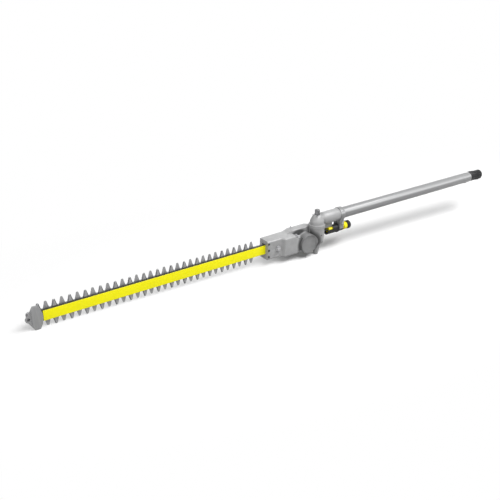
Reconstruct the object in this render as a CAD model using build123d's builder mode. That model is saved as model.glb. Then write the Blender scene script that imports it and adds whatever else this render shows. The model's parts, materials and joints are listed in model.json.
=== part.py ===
from build123d import *
from math import atan, atan2, cos, hypot, pi, sin, tan
import os

os.makedirs("parts", exist_ok=True)

# Hedge trimmer attachment for a split-shaft tool, in millimetres.
# The origin is the foot of the swivel axis, +X runs up the pole, +Z runs up the swivel axis.

# Levels and planes
POLE_Z = 85.5
LAY_Z = 43.0
LOCK_Z = 51.5
SPLIT_Z = 72.7
BLADE_Y = 16.0
RUN = 0.3
FIT = 0.03
SCREW_R = 1.6
BOLT_R = 2.0

# Cutter blades
TOOTH_PITCH = 31.0
TEETH = 16
LAST_TOOTH_X = -174.5
BLADE_T = 2.4
TIP_HALF = 26.0
SPINE_HALF = 11.5
SHANK_HALF = 6.8
TOOTH_ROOT_HALF = 6.3
TOOTH_TIP_HALF = 2.5
GROUND_LAND = 0.9
GROUND_WIDTH = 1.9
THROW = 5.2
CAM_R = 10.0

# Blade bars and tip guard
BAR_HALF = 11.0
BAR_T = 3.7
REAR_BAR_HALF = 9.0
REAR_BAR_T = 3.5
BAR_INNER_X = -126.0
SPACER_R = 3.5
GUARD_HALF = 24.5
GUARD_T = 4.5
EYE_R = 3.2

# Cutter case
MOUTH_X = -140.0
CASE_BACK_X = -60.0
CASE_FAR_Y = 32.0
CASE_LOW_Z = 19.5
CASE_TOP_Z = 64.8
PLATEAU_Z = 69.5
PLATEAU_Y = 12.0
CAST_FILLET = 2.5
CASE_FILLET = 4.0
FLARE_Y = -9.0
WALL = 3.1
CRANK_X = -112.0
AXLE_R = 3.0

# Swivel housings
BARREL_R = 18.3
SWIVEL_FLANGE_T = 3.0
SWIVEL_R = 15.0
BOSS_R = 5.4
BOSS_TOP_Z = 19.6
FUNNEL_TOP_Z = 40.5
CHEEK_R = 22.5
CHEEK_X = -30.5
CHEEK_Z = 37.0
CHEEK_Y = -12.0
CHEEK_RIM = 1.5
COLLAR_END_X = 62.0

# Drive line
SHAFT_R = 4.0
GEAR_ROOM_R = 11.8
BEARING_T = 7.0
INPUT_BEARING_X = 15.0
PIVOT_BEARING_Z = 57.0
PIVOT_BEARING_R = 13.0
FOOT_BUSH_Z = 24.0
FOOT_BUSH_R = 6.5
LAY_BEARING_X = -23.0
LAY_BEARING_R = 9.6
TAIL_BEARING_X = -90.0
TAIL_BEARING_R = 7.0
TAIL_BEARING_T = 6.0

# Pole
TUBE_R = 13.0
TUBE_WALL = 1.6
TUBE_START_X = 28.0
TUBE_END_X = 534.0
SPIGOT_L = 6.0
CAP_L = 46.0
CAP_PLUG_L = 20.0

# Swivel lock
BAND_L = 12.0
EAR_HALF = 11.4
SHROUD_X = 28.0
GUIDE_START_X = 45.0
GUIDE_R = 9.8
PLUNGER_R = 7.0
PLUNGER_COLLAR_R = 9.4
KNOB_R = 9.8
KNOB_L = 12.0
STEM_R = 4.0
PIN_R = 1.6
LOCK_TRAVEL = 4.0
INDEX_STEP = 45

# Derived positions
FRONT_SHEAR_Y = BLADE_Y - RUN / 2
REAR_SHEAR_Y = BLADE_Y + RUN / 2
FRONT_Y = FRONT_SHEAR_Y - BLADE_T
REAR_Y = REAR_SHEAR_Y + BLADE_T
BAR_BACK_Y = FRONT_Y - RUN
BAR_FRONT_Y = BAR_BACK_Y - BAR_T
REAR_BAR_FRONT_Y = REAR_Y + RUN
REAR_BAR_BACK_Y = REAR_BAR_FRONT_Y + REAR_BAR_T
COVER_Y = CASE_FAR_Y - WALL
FRONT_TEETH_X = [LAST_TOOTH_X - TOOTH_PITCH * (i + 0.5) for i in range(TEETH)]
REAR_TEETH_X = [LAST_TOOTH_X - TOOTH_PITCH * i for i in range(TEETH)]
TIP_TOOTH_X = FRONT_TEETH_X[-1]
BLADE_END_X = TIP_TOOTH_X - TOOTH_ROOT_HALF - 0.7
GUARD_FIX_X = BLADE_END_X - THROW - SPACER_R - 0.8
EYE_X = GUARD_FIX_X - 4.5
SPACER_X = [TIP_TOOTH_X + TOOTH_PITCH * (3 * i + 0.75) for i in range(6)]
SLOT_L = 2 * (SPACER_R + THROW + 3.8)
ANCHOR_X = MOUTH_X + 4.0
TUBE_BORE_R = TUBE_R - TUBE_WALL
SPIGOT_R = TUBE_R - 0.4
CAP_R = TUBE_R - 0.7
COLLAR_R = TUBE_R + 1.6
BAND_R = TUBE_R + 3.0
BARREL_FLANGE_R = BARREL_R + 1.1
DOME_R = BARREL_R - 1.7
DOME_TOP_Z = POLE_Z + TUBE_R - 0.5
PIVOT_BEARING_END_Z = PIVOT_BEARING_Z + BEARING_T
GEAR_ROOM_Z = FOOT_BUSH_Z + 9.0
INPUT_BEARING_END_X = INPUT_BEARING_X + BEARING_T
LAY_BEARING_END_X = LAY_BEARING_X + BEARING_T
TAIL_BEARING_END_X = TAIL_BEARING_X + TAIL_BEARING_T
MOUTH_WALL_X = MOUTH_X + 7.0
BAND_END_X = COLLAR_END_X + BAND_L
LOWER_FLANGE_Z = SPLIT_Z - SWIVEL_FLANGE_T
UPPER_Z = SPLIT_Z + RUN
KNOB_X = BAND_END_X + 15.0
GUIDE_END_X = BAND_END_X + 1.4
SPRING_X = GUIDE_START_X + LOCK_TRAVEL + 3.0
STRIP_SCREW_X = MOUTH_X + 2.6
CASE_SCREWS = [(STRIP_SCREW_X, LAY_Z + 15.4), (STRIP_SCREW_X, LAY_Z - 15.4)]
COVER_SCREWS = [(x, z) for x in (TAIL_BEARING_X + 5.5, CASE_BACK_X - 3.4) for z in (LAY_Z + 15, LAY_Z - 15)]
TONGUE_Z = 58.0
TONGUE_X = CASE_BACK_X + 7.0
NECK_BOLTS = [(CASE_BACK_X + 2.6, -5.0), (CASE_BACK_X + 2.6, 5.5)]
TAB_TURNS = (139, -128)
NIPPLE_X = CASE_BACK_X + 5.0
NIPPLE_Y = CASE_FAR_Y - 4.0
JOINT_SCREWS = [(21.0, LAY_Z - 11), (21.0, LAY_Z + 11)]

# Bevel pairs: input 12 on 24, lay 16 on 16, crank 12 on 36
INPUT_MODULE = 1.0
LAY_MODULE = 1.25
CRANK_MODULE = 1.0
FACE_SCALE = 0.68
PINION_SCALE = 0.86
LAY_REACH = 0.5 * LAY_MODULE * 16
CRANK_REACH = 0.5 * CRANK_MODULE * 36
BEVEL_TRIM_R = LAY_REACH + 0.5
UPPER_BEVEL_Z = POLE_Z - 0.5 * INPUT_MODULE * 12


def along_x(x0, x1, radius, y=0.0, z=0.0, mode=Mode.ADD):
    """Round bar along X."""
    with Locations(Location((x0, y, z), (0, 90, 0))):
        Cylinder(radius, x1 - x0, align=(Align.CENTER, Align.CENTER, Align.MIN), mode=mode)


def along_y(y0, y1, radius, x=0.0, z=0.0, mode=Mode.ADD):
    """Round bar along Y."""
    with Locations(Location((x, y0, z), (-90, 0, 0))):
        Cylinder(radius, y1 - y0, align=(Align.CENTER, Align.CENTER, Align.MIN), mode=mode)


def along_z(z0, z1, radius, x=0.0, y=0.0, mode=Mode.ADD):
    """Round bar along Z."""
    with Locations((x, y, z0)):
        Cylinder(radius, z1 - z0, align=(Align.CENTER, Align.CENTER, Align.MIN), mode=mode)


def block(x0, x1, y0, y1, z0, z1, mode=Mode.ADD):
    """Box between two corners."""
    with Locations(((x0 + x1) / 2, (y0 + y1) / 2, (z0 + z1) / 2)):
        Box(x1 - x0, y1 - y0, z1 - z0, mode=mode)


def side(y):
    """Plane facing the viewer at depth y, with X to the right and Z up."""
    return Plane((0, y, 0), x_dir=(1, 0, 0), z_dir=(0, -1, 0))


def hexagon(plane, across_flats, height):
    """Hexagon bar standing on a plane."""
    with BuildSketch(plane) as hexagon_sketch:
        RegularPolygon(across_flats / 2, 6, major_radius=False)
    extrude(hexagon_sketch.sketch, amount=height)


def bevel_teeth(apex, out, toward, teeth, mate, module, shift, trim_r, face=FACE_SCALE):
    """Toothed cone about `out`, with a tooth (shift 0) or a gap (shift 0.5) on the `toward` side."""
    pitch_angle = atan2(teeth, mate)
    cone = 0.5 * module * hypot(teeth, mate)
    depth = 0.5 * module * mate
    tip = depth * tan(pitch_angle + atan(0.7 * module / cone))
    root = depth * tan(pitch_angle - atan(1.2 * module / cone))
    step = 2 * pi / teeth
    corners = []
    for i in range(teeth):
        for radius, share in ((root, -0.30), (tip, -0.08), (tip, 0.08), (root, 0.30)):
            angle = (i + shift + share) * step
            corners.append((radius * cos(angle), radius * sin(angle)))
    base = Plane(apex, x_dir=toward, z_dir=out)
    sections = []
    for scale in (1.0, face):
        with BuildSketch(base.offset(depth * scale)) as section:
            Polygon(*[(u * scale, v * scale) for u, v in corners], align=None)
        sections.append(section.sketch.face())
    loft(sections, ruled=True)
    with Locations(base.location):
        Cylinder(trim_r, 4 * depth, mode=Mode.INTERSECT)


def ground_teeth(positions, shear_y, outward):
    """Teeth along both edges, full at the shear face and ground back on the outer face."""
    for x in positions:
        for edge in (1, -1):
            sections = []
            for depth, cut in ((0.0, 0.0), (GROUND_LAND, 0.0), (BLADE_T, GROUND_WIDTH)):
                root = TOOTH_ROOT_HALF - cut
                tip = TOOTH_TIP_HALF - 0.6 * cut
                top = TIP_HALF - 0.7 * cut
                right_side = [(root, SPINE_HALF - 2), (root - 0.3, SPINE_HALF), (tip, top - 2),
                              (tip - 0.9, top)]
                left_side = [(-u, v) for u, v in reversed(right_side)]
                with BuildSketch(side(shear_y + outward * depth)) as section:
                    Polygon(*[(x + u, LAY_Z + edge * v) for u, v in right_side + left_side], align=None)
                sections.append(section.sketch.face())
            loft(sections, ruled=True)


def blade_body(near_y, far_y):
    """Spine, shank and yoke of one blade, with its guide slots and cam slot."""
    thickness = far_y - near_y
    yoke_x = CRANK_X - CAM_R - 5
    spine_x = MOUTH_X - 8
    block(BLADE_END_X, spine_x, near_y, far_y, LAY_Z - SPINE_HALF, LAY_Z + SPINE_HALF)
    block(spine_x, yoke_x, near_y, far_y, LAY_Z - SHANK_HALF, LAY_Z + SHANK_HALF)
    yoke_half = CAM_R + THROW + 2.6
    block(yoke_x, CRANK_X + CAM_R + 5, near_y, far_y, LAY_Z - yoke_half, LAY_Z + yoke_half)
    with BuildSketch(side(far_y)) as slots:
        with Locations(*[(x, LAY_Z) for x in SPACER_X]):
            SlotOverall(SLOT_L, 2 * SPACER_R + 0.6)
        with Locations((CRANK_X, LAY_Z)):
            SlotOverall(2 * (CAM_R + THROW + RUN), 2 * (CAM_R + 0.45), rotation=90)
    extrude(slots.sketch, amount=thickness, mode=Mode.SUBTRACT)


# Pole tube, turned down at its outer end
with BuildPart() as pole_tube:
    along_x(TUBE_START_X, TUBE_END_X - SPIGOT_L, TUBE_R, z=POLE_Z)
    along_x(TUBE_END_X - SPIGOT_L, TUBE_END_X, SPIGOT_R, z=POLE_Z)
    along_x(TUBE_START_X, TUBE_END_X, TUBE_BORE_R, z=POLE_Z, mode=Mode.SUBTRACT)
pole_tube.part.label = "pole_tube"
export_step(pole_tube.part, "parts/pole_tube.step")

# Locating lug under the pole end
LUG_X = TUBE_END_X - SPIGOT_L - 4.0
with BuildPart() as locating_lug:
    along_z(POLE_Z - TUBE_R - 2.2, POLE_Z - TUBE_R + 1.0, 3.0, x=LUG_X)
    along_x(LUG_X - 5, LUG_X + 5, TUBE_R + FIT, z=POLE_Z, mode=Mode.SUBTRACT)
    foot_edges = locating_lug.faces().sort_by(Axis.Z)[0].edges()
    fillet(foot_edges, 1.0)
locating_lug.part.label = "locating_lug"
export_step(locating_lug.part, "parts/locating_lug.step")

# Fluted cap that plugs the pole end
CAP_X = TUBE_END_X
with BuildPart() as end_cap:
    along_x(CAP_X, CAP_X + CAP_L, CAP_R, z=POLE_Z)
    outer_rim = end_cap.faces().sort_by(Axis.X)[-1].edges()
    fillet(outer_rim, 3.0)
    along_x(CAP_X - CAP_PLUG_L, CAP_X, TUBE_BORE_R - 0.1, z=POLE_Z)
    with BuildSketch(Plane.YZ.offset(CAP_X + 7.0)):
        with Locations((0, POLE_Z)):
            with PolarLocations(CAP_R + 0.7, 12):
                Circle(1.7)
    extrude(amount=CAP_L, mode=Mode.SUBTRACT)
    along_x(CAP_X - CAP_PLUG_L, CAP_X + CAP_L - 4.0, 8.2, z=POLE_Z, mode=Mode.SUBTRACT)
end_cap.part.label = "end_cap"
export_step(end_cap.part, "parts/end_cap.step")

# Upper swivel housing: flange, dome and pole collar
BEARING_R = 10.0
with BuildPart() as upper_housing:
    with BuildSketch(Plane.XZ):
        with BuildLine():
            Polyline((0, UPPER_Z), (BARREL_FLANGE_R, UPPER_Z), (BARREL_FLANGE_R, UPPER_Z + SWIVEL_FLANGE_T),
                     (DOME_R, UPPER_Z + SWIVEL_FLANGE_T), (DOME_R, POLE_Z - 5))
            Spline((DOME_R, POLE_Z - 5), (13.4, POLE_Z + 5), (7.6, DOME_TOP_Z), tangents=((0, 1), (-1, 0.6)))
            Polyline((7.6, DOME_TOP_Z), (0, DOME_TOP_Z), (0, UPPER_Z))
        make_face()
    revolve(axis=Axis.Z)
    with Locations(Location((5, 0, POLE_Z), (0, 90, 0))):
        Cone(8.0, COLLAR_R, 12, align=(Align.CENTER, Align.CENTER, Align.MIN))
    along_x(17, COLLAR_END_X, COLLAR_R, z=POLE_Z)
    block(BARREL_FLANGE_R + 1.0, GUIDE_START_X - 0.5, -WALL, WALL,
          LOCK_Z + PLUNGER_R + 1.0, POLE_Z - TUBE_R - 0.6)
    along_z(LOCK_Z, UPPER_Z, BARREL_FLANGE_R + 0.8, mode=Mode.SUBTRACT)
    with BuildSketch(Plane.XY.offset(UPPER_Z - 6.5)):
        Circle(SWIVEL_R)
        Circle(SWIVEL_R - 2.8, mode=Mode.SUBTRACT)
    extrude(amount=6.5)
    with BuildSketch(Plane.XY.offset(UPPER_Z - 6.2)):
        Circle(SWIVEL_R + 0.5)
        Circle(SWIVEL_R - 0.8, mode=Mode.SUBTRACT)
    extrude(amount=1.7, mode=Mode.SUBTRACT)
    along_z(UPPER_Z - 7, POLE_Z - 1.5, SWIVEL_R - 2.8, mode=Mode.SUBTRACT)
    along_z(UPPER_Z, POLE_Z - 1.5, SWIVEL_R - 0.7, mode=Mode.SUBTRACT)
    along_x(3, INPUT_BEARING_X, 8.6, z=POLE_Z, mode=Mode.SUBTRACT)
    along_x(INPUT_BEARING_X, INPUT_BEARING_END_X, BEARING_R + FIT, z=POLE_Z, mode=Mode.SUBTRACT)
    along_x(INPUT_BEARING_END_X, COLLAR_END_X, TUBE_R + FIT, z=POLE_Z, mode=Mode.SUBTRACT)
    along_z(DOME_TOP_Z - 10, DOME_TOP_Z, 3.5 + FIT, mode=Mode.SUBTRACT)
    with Locations(Location((COLLAR_END_X - 12, 0, POLE_Z), (-135, 0, 0))):
        Cylinder(2.5 + FIT, 30, align=(Align.CENTER, Align.CENTER, Align.MIN), mode=Mode.SUBTRACT)
upper_housing.part.label = "upper_housing"
export_step(upper_housing.part, "parts/upper_housing.step")

# Set screw that holds the tube in the collar
with BuildPart() as collar_screw:
    with Locations(Location((COLLAR_END_X - 12, 0, POLE_Z), (-135, 0, 0))):
        with Locations((0, 0, TUBE_R + FIT)):
            Cylinder(2.5, 3.4, align=(Align.CENTER, Align.CENTER, Align.MIN))
        with Locations((0, 0, TUBE_R + 1.8)):
            Cylinder(1.2, 4.0, align=(Align.CENTER, Align.CENTER, Align.MIN), mode=Mode.SUBTRACT)
collar_screw.part.label = "collar_screw"
export_step(collar_screw.part, "parts/collar_screw.step")

# Hexagon bolt and washer on the dome
with BuildPart() as dome_bolt:
    along_z(DOME_TOP_Z - 9.5, DOME_TOP_Z + 1.4, 3.5)
    along_z(DOME_TOP_Z + 1.4, DOME_TOP_Z + 3.0, 6.6)
    hexagon(Plane.XY.offset(DOME_TOP_Z + 3.0), 11.0, 10.0)
    crown = dome_bolt.faces().sort_by(Axis.Z)[-1].edges()
    chamfer(crown, 1.0)
dome_bolt.part.label = "dome_bolt"
export_step(dome_bolt.part, "parts/dome_bolt.step")

with BuildPart() as dome_washer:
    along_z(DOME_TOP_Z, DOME_TOP_Z + 1.4, 7.6)
    for turn in TAB_TURNS:
        with Locations(Location((0, 0, DOME_TOP_Z), (0, 0, turn))):
            Box(11.6, 4.0, 1.4, align=(Align.MIN, Align.CENTER, Align.MIN))
    along_z(DOME_TOP_Z, DOME_TOP_Z + 1.4, 3.6, mode=Mode.SUBTRACT)
dome_washer.part.label = "dome_washer"
export_step(dome_washer.part, "parts/dome_washer.step")

# Input pinion and the shaft line inside the pole
SLEEVE_X = TUBE_START_X + 3.0
with BuildPart() as input_pinion:
    bevel_teeth((0, 0, POLE_Z), (1, 0, 0), (0, 0, -1), 12, 24, INPUT_MODULE, 0.0, 9.0)
    along_x(12, INPUT_BEARING_X - 0.2, SHAFT_R + 0.6, z=POLE_Z)
    along_x(12, SLEEVE_X + 9.0, SHAFT_R, z=POLE_Z)
input_pinion.part.label = "input_pinion"
export_step(input_pinion.part, "parts/input_pinion.step")

with BuildPart() as input_bearing:
    along_x(INPUT_BEARING_X, INPUT_BEARING_END_X, BEARING_R, z=POLE_Z)
    along_x(INPUT_BEARING_X, INPUT_BEARING_END_X, SHAFT_R + FIT, z=POLE_Z, mode=Mode.SUBTRACT)
input_bearing.part.label = "input_bearing"
export_step(input_bearing.part, "parts/input_bearing.step")

with BuildPart() as bearing_ring:
    along_x(INPUT_BEARING_END_X, TUBE_START_X, TUBE_R, z=POLE_Z)
    along_x(INPUT_BEARING_END_X, TUBE_START_X, SHAFT_R + 3.0, z=POLE_Z, mode=Mode.SUBTRACT)
bearing_ring.part.label = "bearing_ring"
export_step(bearing_ring.part, "parts/bearing_ring.step")

with BuildPart() as shaft_sleeve:
    along_x(SLEEVE_X, SLEEVE_X + 19, SHAFT_R + 3.0, z=POLE_Z)
    along_x(SLEEVE_X, SLEEVE_X + 19, SHAFT_R + FIT, z=POLE_Z, mode=Mode.SUBTRACT)
shaft_sleeve.part.label = "shaft_sleeve"
export_step(shaft_sleeve.part, "parts/shaft_sleeve.step")

SOCKET_END_X = TUBE_END_X - CAP_PLUG_L - 4.0
with BuildPart() as drive_shaft:
    along_x(SLEEVE_X + 9.3, SOCKET_END_X - 14, SHAFT_R, z=POLE_Z)
drive_shaft.part.label = "drive_shaft"
export_step(drive_shaft.part, "parts/drive_shaft.step")

with BuildPart() as drive_socket:
    along_x(SOCKET_END_X - 26, SOCKET_END_X, SHAFT_R + 3.6, z=POLE_Z)
    along_x(SOCKET_END_X - 26, SOCKET_END_X - 13.9, SHAFT_R + FIT, z=POLE_Z, mode=Mode.SUBTRACT)
    with BuildSketch(Plane.YZ.offset(SOCKET_END_X - 12)):
        with Locations((0, POLE_Z)):
            Rectangle(1.8 * SHAFT_R, 1.8 * SHAFT_R)
    extrude(amount=12, mode=Mode.SUBTRACT)
drive_socket.part.label = "drive_socket"
export_step(drive_socket.part, "parts/drive_socket.step")

with BuildPart() as pole_bushes:
    for bush_x in (TUBE_START_X + 82, (TUBE_START_X + TUBE_END_X) / 2, SOCKET_END_X - 42):
        along_x(bush_x, bush_x + 12, TUBE_BORE_R - 0.05, z=POLE_Z)
        along_x(bush_x, bush_x + 12, SHAFT_R + 0.05, z=POLE_Z, mode=Mode.SUBTRACT)
pole_bushes.part.label = "pole_bushes"
export_step(pole_bushes.part, "parts/pole_bushes.step")

# Lock bracket: split band on the pole with an ear over the lock guide
BAND_MID_X = COLLAR_END_X + BAND_L / 2
BAND_SCREW_Z = (POLE_Z - TUBE_R + LOCK_Z + GUIDE_R) / 2
EAR_LOW_Z = LOCK_Z - 0.5
with BuildPart() as lock_bracket:
    with BuildSketch(Plane.YZ.offset(COLLAR_END_X)):
        with Locations((0, POLE_Z)):
            Circle(BAND_R)
        with Locations((0, (POLE_Z + EAR_LOW_Z) / 2)):
            Rectangle(2 * EAR_HALF, POLE_Z - EAR_LOW_Z)
        with Locations((0, POLE_Z)):
            Circle(TUBE_R + FIT, mode=Mode.SUBTRACT)
        with Locations((0, LOCK_Z)):
            Circle(GUIDE_R + FIT, mode=Mode.SUBTRACT)
        with Locations((0, BAND_SCREW_Z)):
            Rectangle(2.0, 14.0, mode=Mode.SUBTRACT)
    extrude(amount=BAND_L)
    along_y(-EAR_HALF - 1, EAR_HALF + 1, BOLT_R + FIT, x=BAND_MID_X, z=BAND_SCREW_Z, mode=Mode.SUBTRACT)
lock_bracket.part.label = "lock_bracket"
export_step(lock_bracket.part, "parts/lock_bracket.step")

# Clamp screw across the ear
with BuildPart() as band_screw:
    along_y(-EAR_HALF - 3.0, -EAR_HALF, 3.6, x=BAND_MID_X, z=BAND_SCREW_Z)
    along_y(-EAR_HALF, EAR_HALF, BOLT_R, x=BAND_MID_X, z=BAND_SCREW_Z)
    with BuildSketch(side(-EAR_HALF - 1.2)):
        with Locations((BAND_MID_X, BAND_SCREW_Z)):
            RegularPolygon(1.5, 6, major_radius=False)
    extrude(amount=3, mode=Mode.SUBTRACT)
band_screw.part.label = "band_screw"
export_step(band_screw.part, "parts/band_screw.step")

# Lock guide: spring tube with a half-round shroud towards the barrel
with BuildPart() as lock_guide:
    along_x(SHROUD_X, GUIDE_END_X, GUIDE_R, z=LOCK_Z)
    along_x(COLLAR_END_X - 3, COLLAR_END_X, GUIDE_R + 1.2, z=LOCK_Z)
    along_x(SHROUD_X, GUIDE_START_X, PLUNGER_R + RUN, z=LOCK_Z, mode=Mode.SUBTRACT)
    block(SHROUD_X, GUIDE_START_X, -GUIDE_R, GUIDE_R, LOCK_Z + 2.5, LOCK_Z + GUIDE_R, mode=Mode.SUBTRACT)
    along_x(GUIDE_START_X, GUIDE_END_X - 4, 8.6, z=LOCK_Z, mode=Mode.SUBTRACT)
    along_x(GUIDE_START_X, GUIDE_END_X, PLUNGER_R + 0.2, z=LOCK_Z, mode=Mode.SUBTRACT)
lock_guide.part.label = "lock_guide"
export_step(lock_guide.part, "parts/lock_guide.step")

# Lock plunger with its pin, knob and spring, drawn back clear of the index holes
PLUNGER_X = SHROUD_X + LOCK_TRAVEL + 2.0
with BuildPart() as lock_plunger:
    along_x(PLUNGER_X, KNOB_X, PLUNGER_R, z=LOCK_Z)
    along_x(SPRING_X - 2, SPRING_X, PLUNGER_R + 1.3, z=LOCK_Z)
    along_x(GUIDE_END_X + LOCK_TRAVEL + RUN, KNOB_X, PLUNGER_COLLAR_R, z=LOCK_Z)
    along_x(KNOB_X, KNOB_X + 8, STEM_R, z=LOCK_Z)
    along_x(PLUNGER_X, PLUNGER_X + 10, PIN_R + FIT, z=LOCK_Z, mode=Mode.SUBTRACT)
lock_plunger.part.label = "lock_plunger"
export_step(lock_plunger.part, "parts/lock_plunger.step")

with BuildPart() as lock_pin:
    along_x(BARREL_R + 0.4, PLUNGER_X + 9.9, PIN_R, z=LOCK_Z)
    nose = lock_pin.faces().sort_by(Axis.X)[0].edges()
    chamfer(nose, 0.6)
lock_pin.part.label = "lock_pin"
export_step(lock_pin.part, "parts/lock_pin.step")

with BuildPart() as lock_knob:
    along_x(KNOB_X, KNOB_X + KNOB_L, KNOB_R, z=LOCK_Z)
    knob_rim = lock_knob.faces().sort_by(Axis.X)[-1].edges()
    fillet(knob_rim, 2.5)
    with BuildSketch(Plane.YZ.offset(KNOB_X)):
        with Locations((0, LOCK_Z)):
            with PolarLocations(KNOB_R + 0.6, 12):
                Circle(1.5)
    extrude(amount=KNOB_L, mode=Mode.SUBTRACT)
    along_x(KNOB_X, KNOB_X + 8.2, STEM_R + FIT, z=LOCK_Z, mode=Mode.SUBTRACT)
lock_knob.part.label = "lock_knob"
export_step(lock_knob.part, "parts/lock_knob.step")

SPRING_L = GUIDE_END_X - 4 - SPRING_X
with BuildPart() as lock_spring:
    with BuildLine():
        coil = Helix(pitch=(SPRING_L - 1.4) / 5, height=SPRING_L - 1.4, radius=7.9,
                     center=(SPRING_X + 0.7, 0, LOCK_Z), direction=(1, 0, 0))
    with BuildSketch(Plane(coil @ 0, z_dir=coil % 0)):
        Rectangle(1.0, 1.0)
    sweep(is_frenet=True)
lock_spring.part.label = "lock_spring"
export_step(lock_spring.part, "parts/lock_spring.step")

# Lower swivel housing: shoulder, cheek and neck fused to the turned barrel, funnel and boss
with BuildPart() as lower_housing:
    with BuildSketch(Plane.XY.offset(LAY_Z - 17)) as shoulder:
        Polygon((CASE_BACK_X, PLATEAU_Y), (-4, PLATEAU_Y), (-2, BARREL_R - 1), (-16, CASE_FAR_Y),
                (CASE_BACK_X, CASE_FAR_Y), align=None)
    extrude(amount=PLATEAU_Z - LAY_Z + 17)
    shoulder_top = lower_housing.faces().sort_by(Axis.Z)[-1].edges().filter_by(Axis.X)
    far_corner = lower_housing.edges().filter_by(Axis.Z).sort_by(Axis.Y)[-2:].sort_by(Axis.X)[-1]
    fillet(shoulder_top + [far_corner], CAST_FILLET)
    along_y(CHEEK_Y - CHEEK_RIM, PLATEAU_Y, CHEEK_R, x=CHEEK_X, z=CHEEK_Z)
    cheek_rim = lower_housing.faces().sort_by(Axis.Y)[0].edges()
    fillet(cheek_rim, 0.6)
    along_y(CHEEK_Y - CHEEK_RIM, CHEEK_Y, CHEEK_R - 1.9, x=CHEEK_X, z=CHEEK_Z, mode=Mode.SUBTRACT)
    block(CASE_BACK_X, CHEEK_X, FLARE_Y + 1, PLATEAU_Y, CHEEK_Z - 13, TONGUE_Z - 4.5)
    with BuildSketch(Plane.XZ) as turned:
        with BuildLine():
            Polyline((0, 0), (BOSS_R - 0.8, 0), (BOSS_R, 0.8), (BOSS_R + 1.2, 8), (8.0, BOSS_TOP_Z))
            Spline((8.0, BOSS_TOP_Z), (14.4, 29.0), (BARREL_R, FUNNEL_TOP_Z), tangents=((0.45, 1), (0, 1)))
            Polyline((BARREL_R, FUNNEL_TOP_Z), (BARREL_R, LOWER_FLANGE_Z), (BARREL_FLANGE_R, LOWER_FLANGE_Z),
                     (BARREL_FLANGE_R, SPLIT_Z), (0, SPLIT_Z), (0, 0))
        make_face()
    revolve(turned.sketch, axis=Axis.Z)
    along_z(GEAR_ROOM_Z, PIVOT_BEARING_Z, GEAR_ROOM_R, mode=Mode.SUBTRACT)
    along_z(PIVOT_BEARING_Z, PIVOT_BEARING_END_Z, PIVOT_BEARING_R + FIT, mode=Mode.SUBTRACT)
    along_z(PIVOT_BEARING_END_Z, SPLIT_Z, SWIVEL_R + RUN, mode=Mode.SUBTRACT)
    along_z(UPPER_Z - 6.25, UPPER_Z - 4.45, SWIVEL_R + 1.4, mode=Mode.SUBTRACT)
    along_z(FOOT_BUSH_Z, GEAR_ROOM_Z, FOOT_BUSH_R + FIT, mode=Mode.SUBTRACT)
    along_x(LAY_BEARING_END_X, -SHAFT_R, BEVEL_TRIM_R + 0.4, z=LAY_Z, mode=Mode.SUBTRACT)
    along_x(LAY_BEARING_X, LAY_BEARING_END_X, LAY_BEARING_R + FIT, z=LAY_Z, mode=Mode.SUBTRACT)
    along_x(CASE_BACK_X, LAY_BEARING_X, SHAFT_R + 2.5, z=LAY_Z, mode=Mode.SUBTRACT)
    for x, y in NECK_BOLTS:
        along_z(LAY_Z + 8, TONGUE_Z, BOLT_R + FIT, x=x, y=y, mode=Mode.SUBTRACT)
    for y, z in JOINT_SCREWS:
        along_x(CASE_BACK_X, CASE_BACK_X + 12, BOLT_R + FIT, y=y, z=z, mode=Mode.SUBTRACT)
    along_z(PLATEAU_Z - 4.2, PLATEAU_Z, BOLT_R + FIT, x=NIPPLE_X, y=NIPPLE_Y, mode=Mode.SUBTRACT)
    for turn in range(-90, 90, INDEX_STEP):
        with Locations(Location((0, 0, LOCK_Z), (0, 0, turn))):
            along_x(BARREL_R - LOCK_TRAVEL - 0.4, BARREL_R + 2, PIN_R + RUN, mode=Mode.SUBTRACT)
lower_housing.part.label = "lower_housing"
export_step(lower_housing.part, "parts/lower_housing.step")

with BuildPart() as swivel_ring:
    along_z(UPPER_Z - 6.15, UPPER_Z - 4.55, SWIVEL_R + 1.3)
    along_z(UPPER_Z - 6.15, UPPER_Z - 4.55, SWIVEL_R - 0.75, mode=Mode.SUBTRACT)
swivel_ring.part.label = "swivel_ring"
export_step(swivel_ring.part, "parts/swivel_ring.step")

# Pivot shaft with its two bevels
with BuildPart() as pivot_shaft:
    along_z(FOOT_BUSH_Z + RUN, POLE_Z - 3.5, SHAFT_R)
pivot_shaft.part.label = "pivot_shaft"
export_step(pivot_shaft.part, "parts/pivot_shaft.step")

with BuildPart() as upper_bevel:
    bevel_teeth((0, 0, POLE_Z), (0, 0, -1), (1, 0, 0), 24, 12, INPUT_MODULE, 0.5, 12.6)
    along_z(UPPER_BEVEL_Z - 3, UPPER_BEVEL_Z, 9.4)
    along_z(PIVOT_BEARING_END_Z + 0.2, UPPER_BEVEL_Z, SHAFT_R + 2.0)
    along_z(PIVOT_BEARING_END_Z, POLE_Z - 2.5, SHAFT_R + FIT, mode=Mode.SUBTRACT)
upper_bevel.part.label = "upper_bevel"
export_step(upper_bevel.part, "parts/upper_bevel.step")

with BuildPart() as lower_bevel:
    bevel_teeth((0, 0, LAY_Z), (0, 0, 1), (-1, 0, 0), 16, 16, LAY_MODULE, 0.5, BEVEL_TRIM_R)
    along_z(LAY_Z + LAY_REACH, PIVOT_BEARING_Z - 0.2, SHAFT_R + 3.0)
    along_z(LAY_Z + 5, PIVOT_BEARING_Z + 1, SHAFT_R + FIT, mode=Mode.SUBTRACT)
lower_bevel.part.label = "lower_bevel"
export_step(lower_bevel.part, "parts/lower_bevel.step")

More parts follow.
